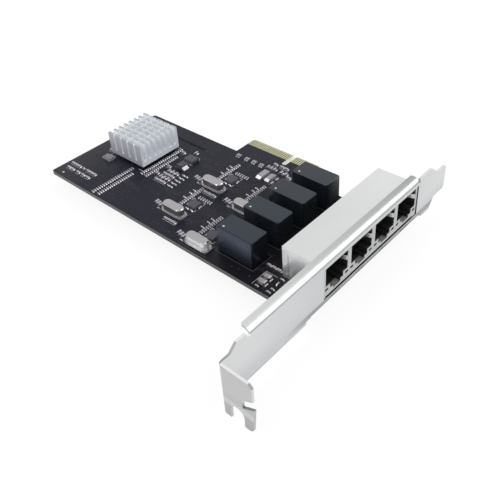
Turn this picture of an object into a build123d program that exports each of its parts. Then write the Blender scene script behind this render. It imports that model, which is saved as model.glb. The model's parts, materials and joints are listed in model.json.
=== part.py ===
from build123d import *
import os

os.makedirs("parts", exist_ok=True)

# Four-socket network card for a PCI Express x4 slot: a short board on a full-height bracket.
# The origin is on the board's mating edge, at the centre of the key notch and at mid-thickness.
# +X leads out through the bracket, +Y into the slot, +Z out of the component side.

# Board
board_thickness = 1.6
board_top = board_thickness / 2
board_bottom = -board_thickness / 2
board_left = -73.6
board_right = 56.2
board_near = -68.6
board_shoulder = -11.85
tongue_left = -22.15
tongue_right = 12.15
tongue_lead_in = 0.6
key_width = 1.9
key_depth = 8.25
foot_left = 33.6
foot_end = -3.1
corner_radius = 0.9

# Edge contacts
contact_pitch = 1.0
contact_width = 0.7
contact_length = 3.7
contact_foil = 0.05
edge_bevel_height = 0.4
edge_bevel_depth = 1.2
long_side_contacts = 21
short_side_contacts = 11
first_contact_offset = 1.5

# Bracket
sheet = 0.86
bend_inner = 0.5
bend_outer = bend_inner + sheet
top_bend_outer = 2.5
plate_face = 57.75
plate_back = plate_face - sheet
plate_low = -3.2
plate_width = 18.42
plate_high = plate_low + plate_width
tab_face = -104.1
tab_reach = 11.43
tab_low = plate_low - 4.2
tab_high = plate_low + 15.9
tab_slot_width = 5.0
tab_slot_centre = plate_face + 4.96
bracket_end = tab_face + 120.02
tongue_width = 10.19
tongue_low = plate_low + 4.1
top_flange_depth = 3.85
top_flange_start = tab_face + 12.4
top_flange_end = tab_face + 101.1
low_flange_depth = 3.2
low_flange_rise = 0.6
low_flange_start = tab_face + 38.9
low_flange_end = tab_face + 103.0
fold_high = plate_high - top_bend_outer

# Mounting lug and its screw
lug_depth = 10.4
lug_width = 6.4
screw_x = 51.1
screw_y = -62.6
screw_radius = 1.5
screw_hole_radius = 1.7
screw_head_radius = 2.8
screw_head_height = 1.9
boss_radius = 2.4

# Socket block
port_count = 4
port_pitch = 13.55
first_port_y = -51.75
shield_sheet = 0.25
shield_rear = 41.4
shield_front = 57.6
shield_near = first_port_y - port_pitch / 2
shield_far = shield_near + port_count * port_pitch
shield_top = 13.75
shield_brow = 12.6
shield_step = 56.35
port_half_width = 5.8
port_floor = 4.85
port_ceiling = 12.2
latch_half_width = 3.5
latch_floor = 3.05
latch_tip_half_width = 2.05
latch_tip_floor = 1.9
cavity_depth = 13.2
peg_radius = 1.6
lamp_width = 1.7
lamp_height = 0.95
lamp_low = 3.0
lamp_offset = 5.3
lamp_recess = 0.9
wires_per_port = 8
wire_pitch = 1.016
wire_size = 0.35

# Transformers
transformer_length = 16.0
transformer_width = 8.1
transformer_height = 10.8
transformer_left = 15.5
transformer_first_near = -62.2
transformer_pitch = 13.5
transformer_pins_per_side = 12
pin_pitch = 1.27
pin_size = 0.5
pin_tail = 1.3

# Heatsink on the switch chip
heatsink_centre = (-52.7, -35.4)
heatsink_size = 20.0
heatsink_base = 1.9
heatsink_height = 9.5
fin_count = 8
fin_thickness = 1.05
block_count = 5
block_length = 3.25
switch_size = 12.0
switch_height = 1.1
pad_size = 11.0
pad_height = 0.3

# One network channel: controller chip, crystal and the small parts round them
chip_centres = [(-9.3, -28.9), (-9.5, -49.4), (8.8, -33.9), (8.8, -58.1)]
crystal_offsets = [(-2.2, -7.7), (-2.4, -7.7), (-0.4, -6.6), (-0.4, -6.6)]
chip_size = 4.4
chip_height = 0.85
crystal_length = 11.3
crystal_width = 4.7
can_length = 9.8
can_width = 3.8
crystal_base_height = 0.4
crystal_flange_height = 0.3
can_height = 3.1

# Chip capacitors and resistors: length, width, height
SIZE_0402 = (1.0, 0.5, 0.5)
SIZE_0603 = (1.6, 0.8, 0.7)
SIZE_1206 = (3.2, 1.6, 1.3)


def block(x0, x1, y0, y1, z0, z1):
    """A rectangular solid between two corners."""
    centre = Pos((x0 + x1) / 2, (y0 + y1) / 2, (z0 + z1) / 2)
    return centre * Box(x1 - x0, y1 - y0, z1 - z0)


def prism_x(points, x0, x1):
    """A (y, z) outline drawn out from x0 to x1."""
    face = Plane.YZ.offset(x0) * make_face(Polyline(*points, close=True))
    return extrude(face, amount=x1 - x0)


def prism_y(points, y0, y1):
    """An (x, z) outline drawn out from y0 to y1."""
    plane = Plane(origin=(0, y1, 0), x_dir=(1, 0, 0), z_dir=(0, -1, 0))
    face = plane * make_face(Polyline(*points, close=True))
    return extrude(face, amount=y1 - y0)


def prism_z(points, z0, z1):
    """An (x, y) outline drawn up from z0 to z1."""
    face = Plane.XY.offset(z0) * make_face(Polyline(*points, close=True))
    return extrude(face, amount=z1 - z0)


def sheet_bend(toward_x, toward_y, outer=bend_outer):
    """The cross-section of a right-angle bend in the sheet, about its own centre."""
    ring = Circle(outer) - Circle(outer - sheet)
    corner = Pos(toward_x * outer / 2, toward_y * outer / 2)
    return ring & (corner * Rectangle(outer, outer))


def save(node, shape):
    """Write one sub-part, or one group of separate solids, to its own file."""
    solids = shape if isinstance(shape, list) else [shape]
    group = Compound(children=solids) if len(solids) > 1 else solids[0]
    export_step(group, f"parts/{node}.step")


def circuit_board():
    """The board: main area, slot tongue with its key notch, and the foot under the sockets."""
    left = tongue_left
    right = tongue_right
    outline = [
        (board_left, board_near),
        (board_right, board_near),
        (board_right, foot_end),
        (foot_left, foot_end),
        (foot_left, board_shoulder),
        (right, board_shoulder),
        (right, -tongue_lead_in),
        (right - tongue_lead_in, 0),
        (left + tongue_lead_in, 0),
        (left, -tongue_lead_in),
        (left, board_shoulder),
        (board_left, board_shoulder),
    ]
    board = prism_z(outline, board_bottom, board_top)
    outer = [edge for edge in board.edges().filter_by(Axis.Z)
             if abs(edge.center().X - board_left) < 0.1 or edge.center().X > foot_left - 0.1]
    board = fillet(outer, corner_radius)
    key = block(-key_width / 2, key_width / 2, -key_depth + key_width / 2, 1, -2, 2)
    key += Pos(0, -key_depth + key_width / 2, 0) * Cylinder(key_width / 2, 4)
    board -= key
    for side in (1, -1):
        wedge = [(0, side * (board_top - edge_bevel_height)), (0, side * board_top),
                 (-edge_bevel_depth, side * board_top)]
        board -= prism_x(wedge, left - 1, right + 1)
    board -= Pos(screw_x, screw_y, 0) * Cylinder(screw_hole_radius, 4)
    for x, y in peg_places():
        board -= Pos(x, y, 0) * Cylinder(peg_radius + 0.06, 4)
    return board


def contact_row(z0, z1):
    """Gilded contacts on one face of the tongue, on both sides of the key notch."""
    row = []
    far_end = -edge_bevel_depth
    for side, count in ((-1, long_side_contacts), (1, short_side_contacts)):
        for index in range(count):
            x = side * (first_contact_offset + index * contact_pitch)
            near_end = far_end - contact_length
            row.append(block(x - contact_width / 2, x + contact_width / 2, near_end, far_end, z0, z1))
    return row


def bracket_plate():
    """The flat of the bracket, with its shoulders, relief, socket window and slits."""
    low = plate_low
    high = plate_high
    fold_low = low + low_flange_rise + bend_outer
    tip = bracket_end
    cut = 0.9
    tongue_high = tongue_low + tongue_width
    near_relief = low_flange_start - 2.3
    far_relief = low_flange_end + 1.4
    top_relief = top_flange_start - 1.7
    outline = [
        (tab_face + bend_outer, tab_low), (tab_face + 4.0, tab_low), (tab_face + 6.5, low),
        (near_relief, low), (near_relief, low + 1.2), (low_flange_start, low + 1.2),
        (low_flange_start, fold_low), (low_flange_end, fold_low), (low_flange_end, low + 1.0),
        (far_relief, low + 1.0), (far_relief, low), (tip - 10.0, low), (tip - 7.3, tongue_low),
        (tip - cut, tongue_low), (tip, tongue_low + cut), (tip, tongue_high - cut),
        (tip - cut, tongue_high), (tip - 6.0, tongue_high), (tip - 11.0, high),
        (top_flange_end, high), (top_flange_end, fold_high), (top_flange_start, fold_high),
        (top_flange_start, fold_high + 0.5), (top_relief, fold_high + 0.5), (top_relief, high),
        (tab_face + 6.9, high), (tab_face + 4.1, tab_high), (tab_face + bend_outer, tab_high),
    ]
    plate = prism_x(outline, plate_back, plate_face)
    plate -= block(plate_back, plate_face, shield_near - 0.1, shield_far + 0.75,
                   low + 3.4, shield_brow + 0.06)
    slit_half = 2.3
    for port in range(port_count):
        middle = port_y(port) - 0.8
        plate -= block(plate_back, plate_face, middle - slit_half, middle + slit_half,
                       low + 2.1, low + 2.45)
    return plate


def bracket_flanges():
    """The stiffening flanges folded back along the upper and the lower edge of the plate."""
    bend_x = plate_face - top_bend_outer
    edge = plate_face - top_flange_depth
    profile = Pos(bend_x, fold_high) * sheet_bend(1, 1, top_bend_outer)
    profile += Pos((bend_x + edge) / 2, plate_high - sheet / 2) * Rectangle(bend_x - edge, sheet)
    plane = Plane(origin=(0, top_flange_end, 0), x_dir=(1, 0, 0), z_dir=(0, -1, 0))
    top = extrude(plane * profile, amount=top_flange_end - top_flange_start)
    top = chamfer(top.edges().filter_by(Axis.Z).group_by(Axis.X)[0], 0.5)

    bend_x = plate_face - bend_outer
    edge = plate_face - low_flange_depth
    low_z = plate_low + low_flange_rise
    profile = Pos(bend_x, low_z + bend_outer) * sheet_bend(1, -1)
    profile += Pos((bend_x + edge) / 2, low_z + sheet / 2) * Rectangle(bend_x - edge, sheet)
    plane = Plane(origin=(0, low_flange_end, 0), x_dir=(1, 0, 0), z_dir=(0, -1, 0))
    return top, extrude(plane * profile, amount=low_flange_end - low_flange_start)


def mounting_lug():
    """The deep end of the lower flange, with a drawn and tapped collar up to the board."""
    low_z = plate_low + low_flange_rise
    start = low_flange_start
    lug = block(plate_face - lug_depth, plate_face - low_flange_depth, start, start + lug_width,
                low_z, low_z + sheet)
    corners = lug.edges().filter_by(Axis.Z).sort_by(Axis.X)[:2]
    lug = fillet(corners, 1.8)
    collar_height = board_bottom - low_z
    lug += Pos(screw_x, screw_y, low_z + collar_height / 2) * Cylinder(boss_radius, collar_height)
    return lug - Pos(screw_x, screw_y, low_z) * Cylinder(screw_radius, 6)


def screw_tab():
    """The tab that seats on the case, with its open screw slot and the slanted notch in its edge."""
    bend_x = plate_face + bend_inner
    profile = Pos(bend_x, tab_face + bend_outer) * sheet_bend(-1, -1)
    tab = extrude(Plane.XY.offset(tab_low) * profile, amount=tab_high - tab_low)
    reach = plate_face + tab_reach
    root = reach - 4.2
    low = plate_low
    outline = [
        (bend_x, tab_low), (reach - 1.9, tab_low), (reach - 0.9, tab_low + 1.0),
        (reach, low + 6.2), (root, low + 3.9), (root, low + 7.1), (reach - 0.4, low + 9.3),
        (reach - 0.4, tab_high - 1.4), (reach - 1.6, tab_high), (bend_x, tab_high),
    ]
    tab += prism_y(outline, tab_face, tab_face + sheet)
    arch = low - 0.5
    slot = block(tab_slot_centre - tab_slot_width / 2, tab_slot_centre + tab_slot_width / 2,
                 tab_face - 1, tab_face + 2, tab_low - 1, arch)
    slot += Pos(tab_slot_centre, tab_face, arch) * Rot(90, 0, 0) * Cylinder(tab_slot_width / 2, 4)
    return tab - slot


def bracket():
    """The whole bracket, cut and folded from one sheet."""
    body = bracket_plate()
    for flange in bracket_flanges():
        body += flange
    return body + mounting_lug() + screw_tab()


def port_y(port):
    """The middle of one socket."""
    return first_port_y + port * port_pitch


def port_outline(port, clearance=0.0):
    """A socket's mouth: the plug's opening and the stepped way for its latch."""
    middle = port_y(port)
    wide = port_half_width + clearance
    step = latch_half_width + clearance
    tip = latch_tip_half_width + clearance
    return [
        (middle - wide, port_ceiling + clearance), (middle - wide, port_floor - clearance),
        (middle - step, port_floor - clearance), (middle - step, latch_floor - clearance),
        (middle - tip, latch_floor - clearance), (middle - tip, latch_tip_floor - clearance),
        (middle + tip, latch_tip_floor - clearance), (middle + tip, latch_floor - clearance),
        (middle + step, latch_floor - clearance), (middle + step, port_floor - clearance),
        (middle + wide, port_floor - clearance), (middle + wide, port_ceiling + clearance),
    ]


def lamp_box(port, side, x0, x1, clearance=0.0):
    """The space of one signal lamp, low beside the latch way."""
    middle = port_y(port) + side * lamp_offset
    half = lamp_width / 2 + clearance
    return block(x0, x1, middle - half, middle + half, lamp_low - clearance,
                 lamp_low + lamp_height + clearance)


def jack_block(inset):
    """The stepped form of the socket block, smaller at its sides and top by the inset."""
    front = shield_front - inset
    step = shield_step - inset
    outline = [
        (shield_rear + inset, board_top), (front, board_top), (front, shield_brow - inset),
        (step, shield_brow - inset), (step, shield_top - inset), (shield_rear + inset, shield_top - inset),
    ]
    return prism_y(outline, shield_near + inset, shield_far - inset)


def jack_shield():
    """The folded shield round the sockets, open below, with mouths and lamp windows in front."""
    t = shield_sheet
    shell = jack_block(0) - jack_block(t)
    near = shield_near + 0.9
    far = shield_far - 1.9
    shell -= block(shield_front - t, shield_front, near, far, board_top, board_top + 0.15)
    for y0, y1 in ((shield_near, near), (far, shield_far)):
        shell += block(shield_front - t, shield_front, y0, y1, board_top - 0.5, board_top)
    for port in range(port_count):
        shell -= prism_x(port_outline(port), shield_front - 1, shield_front + 1)
        for side in (-1, 1):
            shell -= lamp_box(port, side, shield_front - 1, shield_front + 1)
    wrap = [
        (shield_rear, board_top + 0.9), (shield_rear + 2.2, board_top + 0.9),
        (shield_rear + 2.2, shield_top - 2.3), (shield_step, shield_top - 2.3),
        (shield_step, shield_top), (shield_rear, shield_top),
    ]
    shell += prism_y(wrap, shield_near - 0.15, shield_near)
    shell += prism_y(wrap, shield_far, shield_far + 0.15)
    return shell


def shield_springs():
    """The contact springs that stand in from both side walls of every socket."""
    springs = []
    front = shield_front - shield_sheet
    for port in range(port_count):
        for side in (-1, 1):
            wall = port_y(port) + side * port_half_width
            outline = [
                (front, wall), (front, wall - side * 0.2), (front - 2.6, wall - side * 1.0),
                (front - 5.0, wall - side * 0.35), (front - 5.0, wall - side * 0.15),
                (front - 2.6, wall - side * 0.8), (front - 0.35, wall),
            ]
            springs.append(prism_z(outline, port_ceiling - 4.2, port_ceiling - 2.4))
    return springs


def peg_places():
    """Where the socket block's two locating pegs enter the board."""
    x = shield_front - 6.4
    return [(x, port_y(0) + port_pitch / 2), (x, port_y(2) + port_pitch / 2)]


def jack_housing():
    """The moulded body inside the shield: four sockets, lamp pockets and two board pegs."""
    front = shield_front - shield_sheet
    body = jack_block(shield_sheet)
    for port in range(port_count):
        body -= prism_x(port_outline(port), front - cavity_depth, front + 1)
        for side in (-1, 1):
            body -= lamp_box(port, side, front - 4, front + 1)
    for x, y in peg_places():
        peg = Pos(x, y, board_bottom - 0.2) * Cylinder(peg_radius, 2 * board_thickness + 0.4)
        body += peg
    return body


def jack_lamps():
    """The light windows, two to a socket, set back behind the shield."""
    return [lamp_box(port, side, shield_front - shield_sheet - 4, shield_front - lamp_recess)
            for port in range(port_count) for side in (-1, 1)]


def jack_wires():
    """The sprung wires under each socket's ceiling, folded back towards the rear."""
    front = shield_front - shield_sheet
    rear = front - cavity_depth
    nose = front - 2.4
    tail = front - 9.0
    s = wire_size
    outline = [
        (rear, port_ceiling), (nose, port_ceiling), (nose + 0.5, port_ceiling - 0.6),
        (tail, port_ceiling - 4.3), (tail, port_ceiling - 4.3 + s),
        (nose - 0.1, port_ceiling - s), (rear, port_ceiling - s),
    ]
    wires = []
    for port in range(port_count):
        for index in range(wires_per_port):
            y = port_y(port) + (index - (wires_per_port - 1) / 2) * wire_pitch
            wires.append(prism_y(outline, y - s / 2, y + s / 2))
    return wires


def jack_pins():
    """The tails of the sockets' pins and of the shield's tabs below the board."""
    tails = []
    low = board_bottom - pin_tail
    for port in range(port_count):
        for index in range(wires_per_port):
            x = shield_rear + (3.0 if index % 2 else 5.5)
            y = port_y(port) + (index - (wires_per_port - 1) / 2) * wire_pitch
            half = pin_size / 2 - 0.02
            tails.append(block(x - half, x + half, y - half, y + half, low, board_bottom))
    for y in (shield_near + 0.6, shield_far - 0.6):
        for x in (shield_rear + 3.2, shield_rear + 10.2):
            tails.append(block(x - 0.8, x + 0.8, y - 0.2, y + 0.2, low, board_bottom))
    return tails


def transformer(index):
    """One isolation transformer: a potted block on four low feet."""
    near = transformer_first_near + index * transformer_pitch
    right = transformer_left + transformer_length
    far = near + transformer_width
    foot = 0.3
    top = board_top + transformer_height
    body = block(transformer_left, right, near, far, board_top + foot, top)
    body = chamfer(body.edges().filter_by(Axis.Z), 0.4)
    body = chamfer(body.faces().sort_by(Axis.Z)[-1].edges(), 0.25)
    for x in (transformer_left + 1.5, right - 1.5):
        for y in (near + 1.5, far - 1.5):
            body += Pos(x, y, board_top + foot / 2) * Box(1.4, 1.4, foot)
    return body


def transformer_pins():
    """The tails of the transformers' pins below the board, two rows to each block."""
    tails = []
    half = pin_size / 2
    for index in range(port_count):
        near = transformer_first_near + index * transformer_pitch
        for y in (near + 0.9, near + transformer_width - 0.9):
            for step in range(transformer_pins_per_side):
                x = transformer_left + transformer_length / 2
                x += (step - (transformer_pins_per_side - 1) / 2) * pin_pitch
                tails.append(block(x - half, x + half, y - half, y + half,
                                   board_bottom - pin_tail, board_bottom))
    return tails


def heatsink():
    """Extruded fins on a base, cross-cut into rows of flat pins."""
    cx, cy = heatsink_centre
    half = heatsink_size / 2
    base_low = board_top + switch_height + pad_height
    base_high = base_low + heatsink_base
    top = base_low + heatsink_height
    pitch = (heatsink_size - fin_thickness) / (fin_count - 1)
    comb = [(cy - half, base_low), (cy + half, base_low)]
    for index in reversed(range(fin_count)):
        right = cy - half + index * pitch + fin_thickness
        left = right - fin_thickness
        comb += [(right, base_high)] if index < fin_count - 1 else []
        comb += [(right, top), (left, top)]
        comb += [(left, base_high)] if index > 0 else []
    sink = prism_x(comb, cx - half, cx + half)
    step = (heatsink_size - block_length) / (block_count - 1)
    for index in range(block_count - 1):
        x0 = cx - half + index * step + block_length
        x1 = cx - half + (index + 1) * step
        sink -= block(x0, x1, cy - half - 1, cy + half + 1, base_high, top + 1)
    return sink


def thermal_pad():
    """The soft pad between the switch chip and the heatsink."""
    cx, cy = heatsink_centre
    half = pad_size / 2
    low = board_top + switch_height
    return block(cx - half, cx + half, cy - half, cy + half, low, low + pad_height)


def moulded_chip(cx, cy, size_x, size_y, height, low):
    """A moulded package with a chamfered top edge."""
    body = block(cx - size_x / 2, cx + size_x / 2, cy - size_y / 2, cy + size_y / 2, low, low + height)
    return chamfer(body.faces().sort_by(Axis.Z)[-1].edges(), 0.12)


def stadium(cx, cy, length, width, z0, z1):
    """A flat-sided solid with fully rounded ends, along X."""
    face = Plane.XY.offset(z0) * Pos(cx, cy) * SlotOverall(length, width)
    return extrude(face, amount=z1 - z0)


def crystal_centre(channel):
    """Where one channel's crystal stands."""
    cx, cy = chip_centres[channel]
    dx, dy = crystal_offsets[channel]
    return cx + dx, cy + dy


def crystal_can(channel):
    """A drawn metal can on its flange."""
    cx, cy = crystal_centre(channel)
    low = board_top + crystal_base_height
    flange = stadium(cx, cy, crystal_length, crystal_width, low, low + crystal_flange_height)
    can = stadium(cx, cy, can_length, can_width, low, low + crystal_flange_height + can_height)
    can = chamfer(can.faces().sort_by(Axis.Z)[-1].edges(), 0.35)
    return flange + can


def crystal_base(channel):
    """The insulating plate under the can."""
    cx, cy = crystal_centre(channel)
    half_x = crystal_length / 2
    half_y = crystal_width / 2 - 0.15
    return block(cx - half_x, cx + half_x, cy - half_y, cy + half_y, board_top,
                 board_top + crystal_base_height)


def gull_leads(cx, cy, count, pitch, reach, height):
    """Bent leads on both long sides of a package that lies along X."""
    leads = []
    width = 0.42
    t = 0.2
    for side in (-1, 1):
        outline = [
            (cy + side * reach, height), (cy + side * reach, height - t),
            (cy + side * (reach + 0.35), height - t), (cy + side * (reach + 0.45), board_top),
            (cy + side * (reach + 1.1), board_top), (cy + side * (reach + 1.1), board_top + t),
            (cy + side * (reach + 0.62), board_top + t), (cy + side * (reach + 0.52), height),
        ]
        for index in range(count):
            x = cx + (index - (count - 1) / 2) * pitch
            leads.append(prism_x(outline, x - width / 2, x + width / 2))
    return leads


def chip_part(cx, cy, size, along_x=True):
    """One chip capacitor or resistor as a single block."""
    length, width, height = size
    half_x, half_y = (length / 2, width / 2) if along_x else (width / 2, length / 2)
    return block(cx - half_x, cx + half_x, cy - half_y, cy + half_y, board_top, board_top + height)


def end_cap_split(cx, cy, size, along_x=True):
    """The same block as its body and its two metal ends."""
    whole = chip_part(cx, cy, size, along_x)
    cap = size[0] * 0.24
    inner = (size[0] - 2 * cap, size[1] + 1, size[2] * 3)
    span_x, span_y = (inner[0], inner[1]) if along_x else (inner[1], inner[0])
    middle = Pos(cx, cy, board_top) * Box(span_x, span_y, inner[2])
    return whole & middle, (whole - middle).solids()


def split_group(places):
    """Bodies and metal ends of a list of (x, y, size, along_x) parts."""
    bodies = []
    ends = []
    for cx, cy, size, along_x in places:
        body, pair = end_cap_split(cx, cy, size, along_x)
        bodies.append(body)
        ends += pair
    return bodies, ends


def channel_resistors():
    """The ladder of resistors beside every controller chip, and the short row behind it."""
    places = []
    for cx, cy in chip_centres:
        for step in range(13):
            places.append((cx - 4.5, cy - 3.3 + step * 1.05, SIZE_0402, True))
        for dy in (1.2, 4.4, 6.5):
            places.append((cx - 6.3, cy + dy, SIZE_0402, True))
        if cx < 0:
            for step in range(6):
                places.append((cx - 1.3 + step * 1.2, cy + 4.6, SIZE_0402, False))
    return places


def channel_capacitors():
    """The load capacitors at every crystal, and those below the cans of the left-hand pair."""
    places = []
    for channel, (cx, cy) in enumerate(chip_centres):
        x, y = crystal_centre(channel)
        for step in range(3):
            places.append((x - 7.2 - step * 1.5, y + 0.2 + step * 0.3, SIZE_0603, False))
        if cx < 0:
            for step in range(3):
                places.append((cx - 2.2 + step * 2.1, cy - 12.1, SIZE_0603, True))
    return places


def bypass_capacitors():
    """The smallest capacitors, close to every chip and crystal."""
    places = []
    for channel, (cx, cy) in enumerate(chip_centres):
        x, y = crystal_centre(channel)
        places.append((x - 6.6, y - 1.9, SIZE_0402, True))
        places.append((cx + 1.9, cy - 3.2, SIZE_0402, True))
        places.append((cx - 0.4, cy - 3.2, SIZE_0402, True))
        places.append((cx + 3.3, cy + 0.4, SIZE_0402, False))
    return places


def switch_resistors():
    """The long rows at the heatsink's corner and side, and the pairs that fan out from it."""
    places = []
    for step in range(20):
        places.append((-47.4, -67.6 + step * 1.06, SIZE_0402, True))
    for step in range(17):
        places.append((-44.4, -67.1 + step * 1.06, SIZE_0402, True))
    for step in range(22):
        places.append((-41.5, -47.6 + step * 1.06, SIZE_0402, True))
    for step in range(17):
        places.append((-38.9, -47.6 + step * 1.06, SIZE_0402, True))
    for row in range(5):
        places.append((-26.6, -46.7 + row * 2.08, SIZE_0402, True))
        places.append((-24.9, -46.7 + row * 2.08, SIZE_0402, True))
    return places


def switch_capacitors():
    """The crowd of capacitors between the heatsink and the first channel."""
    places = [(-36.6, -43.4, SIZE_0603, False), (-36.2, -37.4, SIZE_0603, True)]
    for column in range(3):
        for row in range(4):
            places.append((-33.6 + column * 2.0, -46.5 + row * 2.35, SIZE_0603, row % 2 == 0))
    places += [(-34.2, -23.6, SIZE_0603, False), (-38.8, -26.6, SIZE_0603, True),
               (-65.6, -43.6, SIZE_0603, True)]
    return places


def corner_parts():
    """Two loose rows near the board's corner."""
    far_row = [(x, -59.9, SIZE_0603, True) for x in (-70.5, -68.4, -66.3, -60.4, -58.4, -56.4)]
    near_row = [(x, -62.9, SIZE_0603, True) for x in (-69.4, -67.0, -63.2, -59.9, -56.8)]
    return far_row + near_row + [(-63.7, -59.8, SIZE_0402, False)]


def coupling_capacitors():
    """Two capacitors for each lane, in line with the contacts."""
    return [(lane_x + step, -14.2, SIZE_0603, False)
            for lane_x in (-19.1, -14.5, -10.7, -6.8) for step in (0.0, 1.1)]


def supply_capacitors():
    """The small parts of the supply beside the short side of the tongue."""
    places = [(x, -13.3, SIZE_0603, False) for x in (-3.3, -1.7, -0.1, 3.4, 5.6)]
    places += [(x, -10.3, SIZE_0603, True) for x in (-2.0, 1.2, 3.4)]
    places += [(5.2, y, SIZE_0603, False) for y in (-18.2, -21.2)]
    places.append((8.1, -14.7, SIZE_0603, True))
    return places


def bracket_side_parts():
    """The small parts between the nearest transformer and the sockets."""
    places = [(37.4, -67.2, SIZE_0402, True), (42.3, -67.1, SIZE_0402, True),
              (42.6, -65.4, SIZE_0402, True), (42.4, -62.4, SIZE_0402, False),
              (42.2, -60.1, SIZE_0402, True), (39.8, -55.6, SIZE_0402, False)]
    for step in range(3):
        places.append((34.4 + step * 2.2, -57.4, SIZE_0603, True))
    return places


def screw():
    """A pan-head screw with a cross recess, down through the board into the lug's collar."""
    head = Pos(screw_x, screw_y, board_top + screw_head_height / 2)
    head = head * Cylinder(screw_head_radius, screw_head_height)
    head = chamfer(head.faces().sort_by(Axis.Z)[-1].edges(), 0.7)
    cross_depth = 1.0
    cross = Pos(screw_x, screw_y, board_top + screw_head_height - cross_depth / 2)
    head -= cross * Box(2.6, 0.55, cross_depth)
    head -= cross * Box(0.55, 2.6, cross_depth)
    shank_low = plate_low + 0.2
    shank_length = board_top - shank_low
    shank = Pos(screw_x, screw_y, shank_low + shank_length / 2)
    return head + shank * Cylinder(screw_radius - 0.02, shank_length)


def wound_part(cx, cy, length, width, height):
    """A moulded two-ended part that lies along Y, with its broad end terminals."""
    half_x = width / 2
    half_y = length / 2
    terminal = 1.2
    body = block(cx - half_x, cx + half_x, cy - half_y + terminal, cy + half_y - terminal,
                 board_top, board_top + height)
    body = chamfer(body.edges().filter_by(Axis.Y).sort_by(Axis.Z)[-2:], 0.3)
    ends = []
    for side in (-1, 1):
        inner = cy + side * (half_y - terminal)
        outer = cy + side * half_y
        outline = [
            (inner, board_top), (outer, board_top), (outer, board_top + height * 0.4),
            (inner, board_top + height * 0.85),
        ]
        ends.append(prism_x(outline, cx - half_x * 0.9, cx + half_x * 0.9))
    return body, ends


def diode():
    """The power diode beside the switch chip, along X, with a broad terminal at each end."""
    cx, cy = (-31.4, -34.5)
    body = block(cx - 1.4, cx + 1.4, cy - 1.6, cy + 1.6, board_top, board_top + 2.2)
    body = chamfer(body.faces().sort_by(Axis.Z)[-1].edges(), 0.3)
    ends = []
    for side in (-1, 1):
        outline = [
            (cx + side * 1.4, board_top), (cx + side * 2.7, board_top),
            (cx + side * 2.7, board_top + 0.3), (cx + side * 1.4, board_top + 1.1),
        ]
        ends.append(prism_y(outline, cy - 1.4, cy + 1.4))
    return body, ends


def oscillator():
    """The clock source near the board's corner: a ceramic tray, and a metal lid on it."""
    cx, cy = (-61.4, -48.4)
    tray = block(cx - 2.5, cx + 2.5, cy - 1.6, cy + 1.6, board_top, board_top + 0.8)
    lid = block(cx - 2.2, cx + 2.2, cy - 1.3, cy + 1.3, board_top + 0.8, board_top + 1.1)
    return tray, chamfer(lid.edges().filter_by(Axis.Z), 0.3)


save("circuit_board", circuit_board())
save("edge_contacts_component_side", contact_row(board_top, board_top + contact_foil))
save("edge_contacts_solder_side", contact_row(board_bottom - contact_foil, board_bottom))

save("bracket", bracket())
save("bracket_screw", screw())

save("jack_shield", jack_shield())
save("jack_housing", jack_housing())
save("jack_wires", jack_wires())
save("jack_lamps", jack_lamps())
save("jack_pins", jack_pins())
save("shield_springs", shield_springs())

for number in range(port_count):
    save(f"transformer_{number + 1}", transformer(number))
save("transformer_pins", transformer_pins())

switch_x, switch_y = heatsink_centre
save("heatsink", heatsink())
save("thermal_pad", thermal_pad())
save("switch_chip", moulded_chip(switch_x, switch_y, switch_size, switch_size, switch_height, board_top))

for number, (chip_x, chip_y) in enumerate(chip_centres):
    save(f"network_chip_{number + 1}",
         moulded_chip(chip_x, chip_y, chip_size, chip_size, chip_height, board_top))
    save(f"crystal_can_{number + 1}", crystal_can(number))
save("crystal_bases", [crystal_base(number) for number in range(port_count)])

regulator_x, regulator_y = (-31.9, -28.8)
regulator_length = 4.9
regulator_width = 3.9
save("regulator_chip", moulded_chip(regulator_x, regulator_y, regulator_length, regulator_width,
                                    1.4, board_top + 0.1))
save("regulator_leads", gull_leads(regulator_x, regulator_y, 4, pin_pitch, regulator_width / 2,
                                   board_top + 0.9))

diode_body, diode_ends = diode()
save("power_diode", diode_body)
save("power_diode_terminals", diode_ends)

tray, lid = oscillator()
save("oscillator_tray", tray)
save("oscillator_lid", lid)

coil_body, coil_ends = wound_part(-1.1, -19.1, 6.8, 2.6, 1.6)
filter_body, filter_ends = wound_part(2.6, -19.0, 5.8, 2.3, 1.4)
save("supply_coils", [coil_body, filter_body])
save("supply_coil_terminals", coil_ends + filter_ends)

resistor_places = channel_resistors() + switch_resistors()
small_places = bypass_capacitors() + coupling_capacitors() + bracket_side_parts()
capacitor_places = channel_capacitors() + switch_capacitors() + supply_capacitors() + corner_parts()
large_places = [(37.9, -62.4, SIZE_1206, True), (38.1, -65.1, SIZE_1206, True)]
capacitor_bodies, capacitor_ends = split_group(capacitor_places)
large_bodies, large_ends = split_group(large_places)
save("chip_resistors", [chip_part(*place) for place in resistor_places])
save("bypass_capacitors", [chip_part(*place) for place in small_places])
save("chip_capacitors", capacitor_bodies)
save("chip_capacitor_ends", capacitor_ends)
save("large_capacitors", large_bodies)
save("large_capacitor_ends", large_ends)
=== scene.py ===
import json
import math
import random

import bmesh
import bpy
from mathutils import Matrix, Vector


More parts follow.
